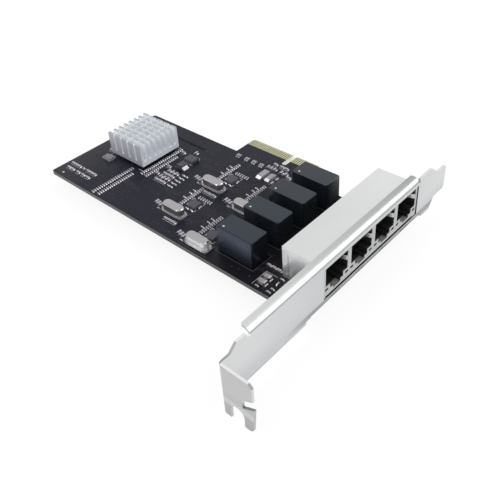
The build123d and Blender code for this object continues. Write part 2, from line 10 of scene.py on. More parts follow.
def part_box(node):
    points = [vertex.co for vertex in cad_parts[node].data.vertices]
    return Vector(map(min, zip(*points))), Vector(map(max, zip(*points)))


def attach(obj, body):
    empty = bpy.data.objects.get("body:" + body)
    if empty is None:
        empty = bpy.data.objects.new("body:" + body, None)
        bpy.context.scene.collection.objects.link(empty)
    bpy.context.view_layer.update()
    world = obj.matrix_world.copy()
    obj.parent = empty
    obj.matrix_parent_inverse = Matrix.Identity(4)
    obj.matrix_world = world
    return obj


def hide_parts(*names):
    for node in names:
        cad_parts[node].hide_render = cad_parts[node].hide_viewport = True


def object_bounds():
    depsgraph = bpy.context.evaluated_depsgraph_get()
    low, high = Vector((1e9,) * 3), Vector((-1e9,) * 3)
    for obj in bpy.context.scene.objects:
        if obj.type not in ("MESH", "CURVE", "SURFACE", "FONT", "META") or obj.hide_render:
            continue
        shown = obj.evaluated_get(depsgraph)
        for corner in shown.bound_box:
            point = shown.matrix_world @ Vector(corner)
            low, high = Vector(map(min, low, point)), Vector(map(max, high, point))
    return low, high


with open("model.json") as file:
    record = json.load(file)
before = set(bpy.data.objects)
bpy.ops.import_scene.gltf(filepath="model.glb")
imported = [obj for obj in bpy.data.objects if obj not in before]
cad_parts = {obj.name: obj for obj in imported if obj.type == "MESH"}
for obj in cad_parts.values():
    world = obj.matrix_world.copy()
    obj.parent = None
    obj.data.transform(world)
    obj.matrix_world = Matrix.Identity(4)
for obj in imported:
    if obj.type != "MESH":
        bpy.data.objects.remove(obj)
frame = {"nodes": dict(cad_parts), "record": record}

CAD_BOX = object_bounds()
MM = 0.001
random.seed(7)

# The tongue: how far it goes past its outer contacts, and how far it stands out of the board
TONGUE_MARGIN = 0.3 * MM
TONGUE_REACH = 11.85 * MM

# Faces and edges that everything else is set against, from the frame
board_low, board_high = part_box("circuit_board")
contacts_low, contacts_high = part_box("edge_contacts_component_side")
BOARD_TOP = contacts_low.z
BOARD_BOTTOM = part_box("edge_contacts_solder_side")[1].z
TONGUE_LEFT = contacts_low.x - TONGUE_MARGIN
TONGUE_RIGHT = contacts_high.x + TONGUE_MARGIN
BOARD_SHOULDER = board_high.y - TONGUE_REACH

# Thicknesses of what is plated, printed or soldered on the board, and a printed line's width
FOIL = 0.02 * MM
INK = 0.035 * MM
SOLDER_PAD = 0.05 * MM
PRINTED_LINE = 0.16 * MM

# The four network channels, and the normal of a face that looks straight along an axis
CHANNELS = range(1, 5)
STRAIGHT = (0.9, 1)

# Every finish of one colour, by name
PLAIN_FINISHES = {
    "copper_under_mask": dict(colour=(0.024, 0.0225, 0.033), roughness=(0.25, 0.35), patch=4.0,
                              specular=0.3),
    "contact_gold": dict(colour=(0.68, 0.66, 0.42), spread=0.08, metallic=0.8,
                         roughness=(0.32, 0.46), patch=1.5, grain=0.1, stretch=(1, 0.2, 1),
                         bump=0.15),
    "screw_nickel": dict(colour=(0.7, 0.69, 0.67), spread=0.08, metallic=1.0,
                         roughness=(0.2, 0.32), patch=1.0, grain=0.15),
    "wire_gold": dict(colour=(0.78, 0.6, 0.28), metallic=1.0, roughness=(0.2, 0.3), patch=1.0,
                      grain=0.1),
    "spring_steel": dict(colour=(0.75, 0.75, 0.73), spread=0.06, metallic=1.0,
                         roughness=(0.2, 0.3), patch=1.5, grain=0.15),
    "lamp_clear": dict(colour=(0.37, 0.385, 0.365), spread=0.06, roughness=(0.2, 0.3), patch=1.0,
                       coat=0.4),
    "package_black": dict(colour=(0.075, 0.075, 0.092), roughness=(0.42, 0.55), patch=1.2,
                          grain=0.08, bump=0.3, specular=0.35),
    "coil_ferrite": dict(colour=(0.33, 0.325, 0.35), spread=0.25, patch=1.0, grain=0.08, bump=0.3),
    "pad_grey": dict(colour=(0.2, 0.21, 0.23), spread=0.08, roughness=(0.8, 0.9), patch=1.0),
    "resistor_black": dict(colour=(0.13, 0.115, 0.135), roughness=(0.25, 0.35), patch=0.5,
                           grain=0.1),
    "resistor_ceramic": dict(colour=(0.6, 0.6, 0.57), spread=0.06, roughness=(0.5, 0.6),
                             patch=0.5, grain=0.1),
    "ceramic_brown": dict(colour=(0.37, 0.335, 0.38), spread=0.12, roughness=(0.35, 0.5),
                          patch=0.5, grain=0.08, bump=0.2),
    "ceramic_beige": dict(colour=(0.36, 0.33, 0.31), spread=0.08, roughness=(0.35, 0.5),
                          patch=0.7, grain=0.1, bump=0.2),
    "ceramic_white": dict(colour=(0.27, 0.265, 0.3), spread=0.08, roughness=(0.5, 0.6), patch=0.7,
                          grain=0.1),
    "lid_steel": dict(colour=(0.3, 0.29, 0.33), spread=0.06, metallic=0.9, roughness=(0.3, 0.4),
                      patch=1.0),
    "ink_dim": dict(colour=(0.07, 0.07, 0.08), spread=0.08, roughness=(0.6, 0.75), patch=0.5,
                    grain=0.08, bump=0.2),
    "ink_white": dict(colour=(0.62, 0.62, 0.62), spread=0.08, roughness=(0.6, 0.75), patch=0.5,
                      grain=0.08, bump=0.2),
}


def noise(tree, size, stretch=(1, 1, 1), detail=3.0):
    """A noise value with features of about size, in mm, drawn out along axes of small stretch."""
    place = tree.nodes.new("ShaderNodeTexCoord")
    mapping = tree.nodes.new("ShaderNodeMapping")
    texture = tree.nodes.new("ShaderNodeTexNoise")
    mapping.inputs["Scale"].default_value = stretch
    texture.inputs["Scale"].default_value = 1 / (size * MM)
    texture.inputs["Detail"].default_value = detail
    tree.links.new(place.outputs["Object"], mapping.inputs["Vector"])
    tree.links.new(mapping.outputs["Vector"], texture.inputs["Vector"])
    return texture.outputs["Fac"]


def stripes(tree, pitch, axis):
    """A wave of the given pitch, in mm, that changes along one axis."""
    place = tree.nodes.new("ShaderNodeTexCoord")
    texture = tree.nodes.new("ShaderNodeTexWave")
    texture.bands_direction = axis
    texture.inputs["Scale"].default_value = math.pi / 10 / (pitch * MM)
    tree.links.new(place.outputs["Object"], texture.inputs["Vector"])
    return texture.outputs["Fac"]


def remap(tree, value, low, high, start=0.3, end=0.7):
    """Spreads a value from start..end over low..high. Noise mostly lies from 0.3 to 0.7."""
    node = tree.nodes.new("ShaderNodeMapRange")
    node.inputs["From Min"].default_value = start
    node.inputs["From Max"].default_value = end
    node.inputs["To Min"].default_value = low
    node.inputs["To Max"].default_value = high
    tree.links.new(value, node.inputs["Value"])
    return node.outputs["Result"]


def calculate(tree, operation, *values):
    """The result of one operation on values, each a number or a socket."""
    node = tree.nodes.new("ShaderNodeMath")
    node.operation = operation
    for socket, value in zip(node.inputs, values):
        if isinstance(value, bpy.types.NodeSocket):
            tree.links.new(value, socket)
        else:
            socket.default_value = value
    return node.outputs[0]


def product(tree, *values):
    """Values multiplied."""
    result = values[0]
    for value in values[1:]:
        result = calculate(tree, "MULTIPLY", result, value)
    return result


def blend(tree, factor, first, second):
    """first where factor is low, second where it is high. Either may be a colour or a socket."""
    node = tree.nodes.new("ShaderNodeMix")
    node.data_type = "RGBA"
    tree.links.new(factor, node.inputs["Factor"])
    colours = [socket for socket in node.inputs if socket.type == "RGBA"]
    for socket, value in zip(colours, (first, second)):
        if isinstance(value, bpy.types.NodeSocket):
            tree.links.new(value, socket)
        else:
            socket.default_value = (*value, 1.0)
    return [socket for socket in node.outputs if socket.type == "RGBA"][0]


def add_bump(tree, shader, height, strength, distance=0.02):
    """Roughens the surface by a height value. distance is in mm."""
    node = tree.nodes.new("ShaderNodeBump")
    node.inputs["Strength"].default_value = strength
    node.inputs["Distance"].default_value = distance * MM
    tree.links.new(height, node.inputs["Height"])
    tree.links.new(node.outputs["Normal"], shader.inputs["Normal"])


def surface(name, colour, spread=0.1, metallic=0.0, roughness=(0.4, 0.5), patch=2.0, grain=0.2,
            stretch=(1, 1, 1), bump=0.1, coat=0.0, specular=0.5):
    """Soft colour patches, uneven gloss and fine grain. Patches and grain are sized in mm."""
    material = bpy.data.materials.new(name)
    material.use_nodes = True
    tree = material.node_tree
    shader = tree.nodes["Principled BSDF"]
    shader.inputs["Metallic"].default_value = metallic
    shader.inputs["Coat Weight"].default_value = coat
    shader.inputs["Coat Roughness"].default_value = 0.12
    shader.inputs["Specular IOR Level"].default_value = specular
    patches = noise(tree, patch, stretch)
    fine = noise(tree, grain, stretch, detail=2.0)
    dark = [channel * (1 - spread) for channel in colour]
    light = [min(1.0, channel * (1 + spread)) for channel in colour]
    tree.links.new(blend(tree, patches, dark, light), shader.inputs["Base Color"])
    tree.links.new(remap(tree, patches, *roughness), shader.inputs["Roughness"])
    add_bump(tree, shader, fine, bump)
    return material


class Finish:
    """A material whose colour is laid on in layers. Places are in mm, in the card's own frame."""

    def __init__(self, name, colour, **look):
        self.material = surface(name, colour, **look)
        self.tree = self.material.node_tree
        self.shader = self.tree.nodes["Principled BSDF"]
        self.colour = self.shader.inputs["Base Color"].links[0].from_socket

    def component(self, vector, axis):
        """One axis of a vector."""
        split = self.tree.nodes.new("ShaderNodeSeparateXYZ")
        self.tree.links.new(vector, split.inputs["Vector"])
        return split.outputs[axis]

    def place(self, axis, start, end):
        """Rises from 0 to 1 as one axis of the place goes from start to end."""
        place = self.tree.nodes.new("ShaderNodeTexCoord").outputs["Object"]
        return remap(self.tree, self.component(place, axis), 0, 1, start * MM, end * MM)

    def normal(self, axis, start, end):
        """Rises from 0 to 1 as one axis of the normal goes from start to end."""
        normal = self.tree.nodes.new("ShaderNodeNewGeometry").outputs["Normal"]
        return remap(self.tree, self.component(normal, axis), 0, 1, start, end)

    def within(self, axis, low, high, soft=0.04):
        """1 where one axis of the place lies from low to high, else 0."""
        return product(self.tree, self.place(axis, low - soft, low),
                       self.place(axis, high + soft, high))

    def facing(self, axis, low, high, soft=0.04):
        """1 where one axis of the normal lies from low to high, else 0."""
        return product(self.tree, self.normal(axis, low - soft, low),
                       self.normal(axis, high + soft, high))

    def upright(self):
        """1 on faces that stand upright, 0 on level ones."""
        normal = self.tree.nodes.new("ShaderNodeNewGeometry").outputs["Normal"]
        slope = calculate(self.tree, "ABSOLUTE", self.component(normal, "Z"))
        return calculate(self.tree, "LESS_THAN", slope, 0.5)

    def shade(self, factor, first, second):
        """A colour that goes from first to second with a factor."""
        return blend(self.tree, factor, first, second)

    def mottled(self, size, first, second):
        """A colour that wanders between two, in patches of about size."""
        return blend(self.tree, noise(self.tree, size), first, second)

    def paint(self, colour, *masks):
        """Lays a colour over what is there, where every mask is 1."""
        self.colour = blend(self.tree, product(self.tree, *masks), self.colour, colour)

    def done(self):
        """The finished material."""
        self.tree.links.new(self.colour, self.shader.inputs["Base Color"])
        return self.material


def board_material():
    """Black solder mask on a woven laminate, whose plies show on the cut edges."""
    weave_pitch = 0.9
    mask = (0.0075, 0.0102, 0.0185)
    board = Finish("solder_mask", mask, spread=0.12, roughness=(0.3, 0.42), patch=3.0,
                   specular=0.22)
    paint_mask(board, mask)
    paint_cut_edges(board)
    weave = product(board.tree, stripes(board.tree, weave_pitch, "X"),
                    stripes(board.tree, weave_pitch, "Y"))
    add_bump(board.tree, board.shader, weave, 0.12, distance=0.01)
    return board.done()


def paint_mask(board, mask):
    """The mask changes over copper fields. It is paler at the far end, darker by the bracket."""
    field_size = 16
    over_copper = (0.0128, 0.0118, 0.023)
    far_end = board.place("X", -56, -70)
    bracket_end = board.place("X", -8, 22)
    fields = remap(board.tree, noise(board.tree, field_size, (1, 1, 0)), 0, 1)
    board.colour = board.shade(fields, mask, over_copper)
    board.paint((0.027, 0.0265, 0.034), far_end)
    board.paint((0.004, 0.004, 0.0075), bracket_end)


def paint_cut_edges(board):
    """Plies on the cut edges, bare laminate on the mating edge and a painted highlight on the wall
    in the notch.
    """
    ply_pitch = 0.4
    plies = board.shade(stripes(board.tree, ply_pitch, "Z"), (0.064, 0.062, 0.062),
                        (0.125, 0.123, 0.122))
    laminate = board.mottled(0.8, (0.4, 0.385, 0.22), (0.48, 0.47, 0.3))
    mating_edge = board.place("Y", -1.22, -1.18)
    notch_wall_highlight = (board.within("X", -1.2, 1.2), board.upright(), board.place("Y", -8.6, -8.5))
    board.paint(plies, board.upright())
    board.paint(laminate, mating_edge)
    # The notch wall is painted near white as a painted highlight on the bare laminate.
    board.paint((0.92, 0.91, 0.78), *notch_wall_highlight)


def bracket_material():
    """Zinc plated sheet, with a painted highlight along the upper fold and on the pale sheared
    edges, and painted shade on the plate, the tab and the folds.
    """
    steel = Finish("plated_steel", (0.7, 0.71, 0.715), spread=0.03, metallic=0.9,
                   roughness=(0.36, 0.46), patch=9.0, grain=0.25, stretch=(1, 0.25, 1))
    paint_plate_and_tab(steel)
    paint_lower_bend(steel)
    # A near-white painted highlight, laid on the upward cut edges and on the upper fold.
    edge_highlight = steel.mottled(1.0, (0.95, 0.95, 0.95), (1, 1, 1))
    paint_sheared_edges(steel, edge_highlight)
    paint_upper_fold(steel, edge_highlight)
    paint_window(steel)
    return steel.done()


def paint_plate_and_tab(steel):
    """Painted shade: the plate darkens downwards and towards its middle, and the tab darkens
    downwards.
    """
    plate_low = steel.place("Z", 6, -3)
    plate_middle = (steel.place("Y", -90, -60), steel.place("Y", 10, -20))
    tab = steel.facing("Y", -1, -0.8)
    tab_painted_shade = steel.shade(steel.place("Z", 4, -6), (0.555, 0.557, 0.56), (0.42, 0.422, 0.425))
    # Painted shade on the lower plate, on the middle of the plate and on the tab.
    steel.paint((0.55, 0.56, 0.575), plate_low)
    steel.paint((0.62, 0.635, 0.645), *plate_middle)
    steel.paint(tab_painted_shade, tab)


def paint_lower_bend(steel):
    """The lower bend is in shade below the sockets, and lighter beside them."""
    below_sockets = steel.place("Y", -78, -66)
    bend = steel.within("Z", -2, 0.1, soft=0.3)
    underside = (steel.facing("Z", -1, -0.08), steel.facing("X", 0.1, 1))
    steel.paint(steel.shade(below_sockets, (0.6, 0.61, 0.62), (0.37, 0.37, 0.38)), bend)
    steel.paint(steel.shade(below_sockets, (0.5, 0.5, 0.51), (0.2, 0.2, 0.205)), *underside)


def paint_sheared_edges(steel, edge_highlight):
    """Cut edges get a pale painted highlight where they look up, and grey painted shade where they
    slant, at the tab's bend and at its corner.
    """
    upward = steel.facing("Z", 0.93, 1)
    slanted = (steel.facing("Z", 0.2, 0.95), steel.facing("Y", -1, -0.2))
    tab_bend = (steel.facing("Z", *STRAIGHT), steel.within("Y", -105, -99.9),
                steel.within("X", 56, 57.6))
    tab_corner = (steel.facing("Z", 0.3, 0.9), steel.within("X", 60, 70))
    # Painted highlight on the upward cut edges, then painted shade on the slanted edges, the tab's
    # bend and its corner.
    steel.paint(edge_highlight, upward)
    steel.paint((0.4, 0.4, 0.4), *slanted)
    steel.paint((0.42, 0.42, 0.42), *tab_bend)
    steel.paint((0.3, 0.3, 0.3), *tab_corner)


def paint_upper_fold(steel, edge_highlight):
    """The upper fold has a painted shade line and a painted highlight band, and the flat flange
    behind them has a painted reflection, lighter at its near end.
    """
    fold = (steel.within("Z", 12.7, 15.3), steel.within("X", 55, 57.8), steel.facing("X", 0.1, 1))
    fold_line_painted_shade = steel.facing("Z", 0.36, 0.56)
    fold_painted_highlight = steel.facing("Z", 0.6, 0.93)
    flange = (steel.within("Z", 14.85, 15.3), steel.facing("Z", *STRAIGHT),
              steel.within("X", 50, 56.6))
    flange_painted_reflection = steel.shade(steel.place("Y", -95, -5), (0.84, 0.85, 0.855),
                                (0.51, 0.535, 0.52))
    # Painted shade along the fold's lower line, a painted highlight on the fold, and a painted
    # reflection on the flat flange.
    steel.paint((0.46, 0.48, 0.48), *fold, fold_line_painted_shade)
    steel.paint(edge_highlight, *fold, fold_painted_highlight)
    steel.paint(flange_painted_reflection, *flange)


def paint_window(steel):
    """The window's sill and its far side lie in the shade of the sockets."""
    sill = (steel.facing("Z", *STRAIGHT), steel.within("Z", 0.1, 0.3))
    far_side = (steel.facing("Y", -1, -0.9), steel.within("Y", -3.8, -3.3))
    steel.paint((0.03, 0.03, 0.032), *sill)
    steel.paint((0.12, 0.12, 0.12), *far_side)


def shield_material():
    """Tin plated sheet, with a painted highlight on top towards the far end and painted shade on
    its front.
    """
    sheet = Finish("shield_nickel", (0.9, 0.93, 0.92), spread=0.03, metallic=0.9,
                   roughness=(0.28, 0.38), patch=8.0, grain=0.3, stretch=(1, 0.4, 1), bump=0.08)
    far_top_painted_highlight = (sheet.place("Y", -42, -10), sheet.normal("Z", 0.8, 0.9))
    front = sheet.facing("X", *STRAIGHT)
    # Painted highlight on the far top faces, and painted shade on the front faces.
    sheet.paint((0.985, 1.0, 0.99), *far_top_painted_highlight)
    sheet.paint(sheet.mottled(4.0, (0.46, 0.47, 0.47), (0.51, 0.52, 0.52)), front)
    return sheet.done()


def heatsink_material():
    """Sawn aluminium, painted very pale so that the shaded gaps between the fins come out light,
    with darker fin tops and painted shade on the outer faces of the fins, darker downwards on two
    of them.
    """
    # The pale base colour is painted light against the shade in the gaps between the fins.
    metal = Finish("fin_aluminium", (0.93, 0.96, 1.0), spread=0.03, metallic=0.1, patch=3.0,
                   grain=0.15, stretch=(0.15, 1, 1), bump=0.2)
    fin_tops = (metal.normal("Z", 0.8, 0.9), metal.place("Z", 11.3, 11.5))
    y_side_painted_shade = metal.shade(metal.place("Z", 3, 9), (0.42, 0.42, 0.495), (0.5, 0.51, 0.57))
    x_side_painted_shade = (0.74, 0.77, 0.86)
    outer_faces = (("Y", -1, -45.3, y_side_painted_shade), ("Y", 1, -25.5, y_side_painted_shade),
                   ("X", 1, -42.8, x_side_painted_shade), ("X", -1, -62.6, x_side_painted_shade))
    # Painted shade on the outer faces, set by the side each one faces.
    metal.paint((0.42, 0.455, 0.48), *fin_tops)
    for axis, sign, edge, colour in outer_faces:
        metal.paint(colour, metal.normal(axis, sign * 0.8, sign * 0.9),
                    metal.place(axis, edge, edge + sign * 0.05))
    return metal.done()


def housing_material():
    """Matt black moulding with the greyer floors of the latch ways."""
    plastic = Finish("housing_black", (0.012, 0.012, 0.013), spread=0.15, roughness=(0.5, 0.62),
                     patch=1.5, grain=0.12, bump=0.25)
    way_floor = (plastic.facing("Z", 0.8, 1), plastic.within("Z", 1.8, 2.2),
                 plastic.place("X", 55.3, 55.9))
    plastic.paint(plastic.mottled(1.0, (0.2, 0.2, 0.2), (0.26, 0.26, 0.26)), *way_floor)
    return plastic.done()


def can_material():
    """Drawn steel, brushed on top, less metallic round the sides with painted reflections there,
    dark on most cans and light on the nearest one, painted shade on the flange and a painted
    highlight at its edge.
    """
    steel = Finish("can_steel", (0.57, 0.555, 0.57), spread=0.06, metallic=1.0,
                   roughness=(0.16, 0.26), patch=3.0, grain=0.4, stretch=(0.3, 1, 1), bump=0.15)
    side_metallic = 0.35
    sides = steel.upright()
    flange_top = steel.place("Z", 2.2, 2.0)
    flange_edge = steel.place("Z", 1.7, 1.55)
    nearest_can = steel.place("Y", -61, -62.5)
    # Painted reflection on the sides, of the dark board on most cans and of the light surround on
    # the nearest can, with a painted highlight by the flange edge.
    side = steel.shade(nearest_can, (0.14, 0.133, 0.145), (0.8, 0.8, 0.8))
    side = steel.shade(flange_edge, side, (0.9, 0.87, 0.9))
    # Painted shade on the flange top.
    steel.paint((0.46, 0.45, 0.47), flange_top)
    steel.paint(side, sides)
    steel.tree.links.new(remap(steel.tree, sides, 1.0, side_metallic, 0, 1),
                         steel.shader.inputs["Metallic"])
    return steel.done()


def transformer_material():
    """A glossy moulded shell with painted light: the tops lighten towards the far end as a painted
    reflection, and the nearest one's near side and the farthest one's end are painted paler, the
    end against the shade it lies in.
    """
    shell = Finish("potting_black", (0.012, 0.016, 0.022), spread=0.12, roughness=(0.2, 0.3),
                   patch=3.0, grain=0.25, bump=0.08, specular=0.34)
    along = shell.place("X", 15, 27)
    near_side = (shell.normal("Y", -0.8, -0.95), shell.place("Y", -61.5, -62.0),
                 shell.place("Z", 2.8, 7.2))
    farthest_shell = product(shell.tree, shell.place("Y", -20.5, -13.6), shell.place("Z", 0, 9))
    top = shell.shade(shell.place("Y", -58, -18), (0.024, 0.034, 0.0465), (0.034, 0.0395, 0.05))
    end = shell.shade(farthest_shell, (0.006, 0.008, 0.011), (0.11, 0.116, 0.116))
    low = shell.shade(along, (0.03, 0.038, 0.065), (0.053, 0.062, 0.09))
    high = shell.shade(along, (0.006, 0.018, 0.044), (0.016, 0.03, 0.058))
    # Painted reflection on the tops, painted light on the farthest end, and painted light with a
    # gradient on the nearest near side.
    shell.paint(top, shell.normal("Z", 0.8, 0.95))
    shell.paint(end, shell.normal("X", 0.3, 0.6))
    shell.paint(shell.shade(shell.place("Z", 8, 11), low, high), *near_side)
    return shell.done()


def tin_material():
    """Bright tin, duller on the coupling capacitors beside the edge contacts."""
    tin = Finish("tinned_metal", (0.8, 0.78, 0.84), spread=0.08, metallic=1.0,
                 roughness=(0.18, 0.34), patch=0.6, grain=0.12, bump=0.3)
    coupling_capacitors = (tin.place("Y", -17, -16), tin.place("X", -3, -4))
    tin.paint((0.4, 0.39, 0.43), *coupling_capacitors)
    return tin.done()


def make_materials():
    """Every finish of the card, by name."""
    materials = {name: surface(name, **look) for name, look in PLAIN_FINISHES.items()}
    materials.update({
        "soldermask_black": board_material(),
        "plated_steel": bracket_material(),
        "shield_nickel": shield_material(),
        "housing_black": housing_material(),
        "potting_black": transformer_material(),
        "tinned_metal": tin_material(),
        "can_steel": can_material(),
        "fin_aluminium": heatsink_material(),
    })
    return materials


def moved_sideways(path, distance, least_turn):
    """A path moved to its left. A mitred corner moves by distance / least_turn at most."""
    points = [Vector(point) for point in path]
    last = len(points) - 1
    moved = []
    for index, point in enumerate(points):
        before = (point - points[index - 1]).normalized() if index else None
        after = (points[index + 1] - point).normalized() if index < last else before
        before = before or after
        along = (before + after).normalized()
        across = Vector((-along.y, along.x))
        moved.append(point + across * (distance / max(least_turn, along.dot(after))))
    return moved


class Shape:
    """A mesh that is put together from simple forms, in metres."""

    def __init__(self):
        self.mesh = bmesh.new()

    def block(self, low, high):
        """A rectangular solid."""
        corners = [(x, y, z) for z in (low[2], high[2]) for y in (low[1], high[1])
                   for x in (low[0], high[0])]
        v = [self.mesh.verts.new(corner) for corner in corners]
        rings = ((0, 2, 3, 1), (4, 5, 7, 6), (0, 1, 5, 4),
                 (1, 3, 7, 5), (3, 2, 6, 7), (2, 0, 4, 6))
        for ring in rings:
            self.mesh.faces.new([v[index] for index in ring])

    def loft(self, rings):
        """A closed skin over rings of points that all have the same count."""
        loops = [[self.mesh.verts.new(point) for point in ring] for ring in rings]
        count = len(loops[0])
        for lower, upper in zip(loops, loops[1:]):
            for index in range(count):
                after = (index + 1) % count
                self.mesh.faces.new((lower[index], lower[after], upper[after], upper[index]))
        self.mesh.faces.new(list(reversed(loops[0])))
        self.mesh.faces.new(loops[-1])

    def turned(self, x, y, profile, sides=14):
        """A turned form about an upright axis. profile is a list of (radius, z)."""
        rings = []
        for radius, z in profile:
            ring = []
            for index in range(sides):
                angle = 2 * math.pi * index / sides
                ring.append((x + radius * math.cos(angle), y + radius * math.sin(angle), z))
            rings.append(ring)
        if profile[0][1] > profile[-1][1]:
            rings.reverse()
        self.loft(rings)

    def disc(self, x, y, radius, low, high, sides=14):
        """A thin upright cylinder."""
        self.turned(x, y, [(radius, low), (radius, high)], sides)

    def strip(self, path, width, low, high):
        """A flat band of constant width along a path of (x, y) points."""
        left = moved_sideways(path, width / 2, 0.5)
        right = moved_sideways(path, -width / 2, 0.5)
        self.loft([[(r.x, r.y, low), (l.x, l.y, low), (l.x, l.y, high), (r.x, r.y, high)]
                   for r, l in zip(right, left)])

    def piece(self, name, material, slot, bevel=0.0):
        """Ends the shape as one piece that rides on the card."""
        bmesh.ops.recalc_face_normals(self.mesh, faces=self.mesh.faces)
        if bevel:
            bmesh.ops.bevel(self.mesh, geom=self.mesh.edges[:], offset=bevel, segments=1,
                            affect="EDGES", clamp_overlap=True)
        data = bpy.data.meshes.new(name)
        self.mesh.to_mesh(data)
        self.mesh.free()
        data.materials.append(material)
        item = bpy.data.objects.new(name, data)
        bpy.context.scene.collection.objects.link(item)
        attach(item, "root")
        return item


def islands(node):
    """The (low, high) corners of every separate solid in a CAD node."""
    mesh = bmesh.new()
    mesh.from_mesh(frame["nodes"][node].data)
    bmesh.ops.remove_doubles(mesh, verts=mesh.verts, dist=0.0001 * MM)
    seen = set()
    found = []
    for start in mesh.verts:
        if start in seen:
            continue
        seen.add(start)
        group = [start]
        for vertex in group:
            for edge in vertex.link_edges:
                other = edge.other_vert(vertex)
                if other not in seen:
                    seen.add(other)
                    group.append(other)
        low = Vector([min(v.co[axis] for v in group) for axis in range(3)])
        high = Vector([max(v.co[axis] for v in group) for axis in range(3)])
        found.append((low, high))
    mesh.free()
    return found


def dress_nodes(materials):
    """Gives every CAD node the finish of its slot, and two of them one of their own."""
    for entry in frame["record"]["subparts"]:
        node = frame["nodes"][entry["node"]]
        node.data.materials.clear()
        node.data.materials.append(materials[entry["material_slot"]])
    frame["nodes"]["oscillator_lid"].data.materials[0] = materials["lid_steel"]
    frame["nodes"]["supply_coils"].data.materials[0] = materials["coil_ferrite"]


def end_blocks(low, high):
    """The long axis of a chip part, its middle, and its two ends, as (low, high) corners."""
    end_share = 0.3
    size = high - low
    axis = 0 if size.x > size.y else 1
    end = size[axis] * end_share
    middle = (low.copy(), high.copy())
    middle[0][axis] += end
    middle[1][axis] -= end
    first = (low.copy(), high.copy())
    first[1][axis] = middle[0][axis]
    second = (low.copy(), high.copy())
    second[0][axis] = middle[1][axis]
    return axis, middle, (first, second)


def bodies_with_ends(materials, node, name, slot, ceramic=None):
    """Bodies and wrapped metal ends in place of a node. ceramic takes what lies under a film."""
    skin = 0.02 * MM
    film = 0.06 * MM
    rounding = 0.035 * MM
    bodies = Shape()
    ends = Shape()
    for low, high in islands(node):
        axis, (body_low, body_high), tips = end_blocks(low, high)
        inset = Vector((skin, skin, 0))
        inset[axis] = 0
        body_low = body_low + inset
        body_high = body_high - inset - Vector((0, 0, skin))
        if ceramic:
            film_low = body_high.z - film
            ceramic.block(body_low, (body_high.x, body_high.y, film_low))
            body_low.z = film_low
        bodies.block(body_low, body_high)
        for tip_low, tip_high in tips:
            ends.block(tip_low, tip_high)
    body = bodies.piece(name + "_bodies", materials[slot], slot)
    caps = ends.piece(name + "_ends", materials["tinned_metal"], "tinned_metal", rounding)
    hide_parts(node)
    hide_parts(node)


def small_chip_parts(materials):
    """Chip resistors, each a dark film on pale ceramic, and the smallest capacitors."""
    ceramic = Shape()
    bodies_with_ends(materials, "chip_resistors", "resistor", "resistor_black", ceramic)
    ceramic.piece("resistor_substrates", materials["resistor_ceramic"], "ceramic_white")
    bodies_with_ends(materials, "bypass_capacitors", "bypass_capacitor", "ceramic_brown")


def solder_fillet(shape, low, high, axis, side, reach):
    """The pad and the sloped solder at one end of a chip part."""
    highest = 0.3 * MM
    height_share = 0.6
    waist_reach = 0.4
    waist_rise = 0.45
    rise = min(highest, (high.z - low.z) * height_share)
    face = high[axis] if side > 0 else low[axis]
    other = 1 - axis
    profile = ((0, low.z), (reach, low.z), (reach, low.z + SOLDER_PAD),
               (reach * waist_reach, low.z + rise * waist_rise), (0, low.z + rise))
    rings = []
    for across in (low[other], high[other]):
        ring = []
        for along, z in profile:
            point = [0, 0, z]
            point[axis] = face + side * along
            point[other] = across
            ring.append(tuple(point))
        rings.append(ring)
    shape.loft(rings)


def solder_at_chip_parts(materials):
    """Solder on two sides of every chip part. On capacitors with CAD ends it is laid along X."""
    short_reach = 0.32 * MM
    long_reach = 0.42 * MM
    cad_end_share = 0.24
    shape = Shape()
    for node, reach in (("chip_resistors", short_reach), ("bypass_capacitors", long_reach)):
        for low, high in islands(node):
            axis = 0 if high.x - low.x > high.y - low.y else 1
            for side in (-1, 1):
                solder_fillet(shape, low, high, axis, side, reach)
    for node in ("chip_capacitors", "large_capacitors"):
        for low, high in islands(node):
            end = (high.x - low.x) * cad_end_share / (1 - 2 * cad_end_share)
            low.x -= end
            high.x += end
            for side in (-1, 1):
                solder_fillet(shape, low, high, 0, side, short_reach)
    shape.piece("chip_solder", materials["tinned_metal"], "tinned_metal")


def leadless_contacts(materials):
    """The row of soldered contacts on each side of every network chip and of the switch chip."""
    shape = Shape()
    half = 0.12 * MM
    reach = 0.35 * MM
    top = BOARD_TOP + SOLDER_PAD
    chips = [(f"network_chip_{number}", 8, 0.5 * MM) for number in CHANNELS]
    chips.append(("switch_chip", 18, 0.62 * MM))
    for node, count, pitch in chips:
        low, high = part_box(node)
        middle = (low + high) / 2
        for index in range(count):
            step = (index - (count - 1) / 2) * pitch
            x0, x1 = (middle.x + step - half, middle.x + step + half)
            y0, y1 = (middle.y + step - half, middle.y + step + half)
            shape.block((low.x - reach, y0, BOARD_TOP), (low.x, y1, top))
            shape.block((x0, low.y - reach, BOARD_TOP), (x1, low.y, top))
            shape.block((high.x, y0, BOARD_TOP), (high.x + reach, y1, top))
            shape.block((x0, high.y, BOARD_TOP), (x1, high.y + reach, top))
    shape.piece("chip_contacts", materials["tinned_metal"], "tinned_metal")


def ink_frame(shape, low, high, margin, width=PRINTED_LINE, sides="NSEW"):
    """Printed lines on some or all sides of a box, on the component side."""
    x0 = low.x - margin
    x1 = high.x + margin
    y0 = low.y - margin
    y1 = high.y + margin
    lines = {"S": ((x0, y0), (x1, y0)), "N": ((x0, y1), (x1, y1)),
             "W": ((x0, y0), (x0, y1)), "E": ((x1, y0), (x1, y1))}
    for side in sides:
        shape.strip(lines[side], width, BOARD_TOP, BOARD_TOP + INK)


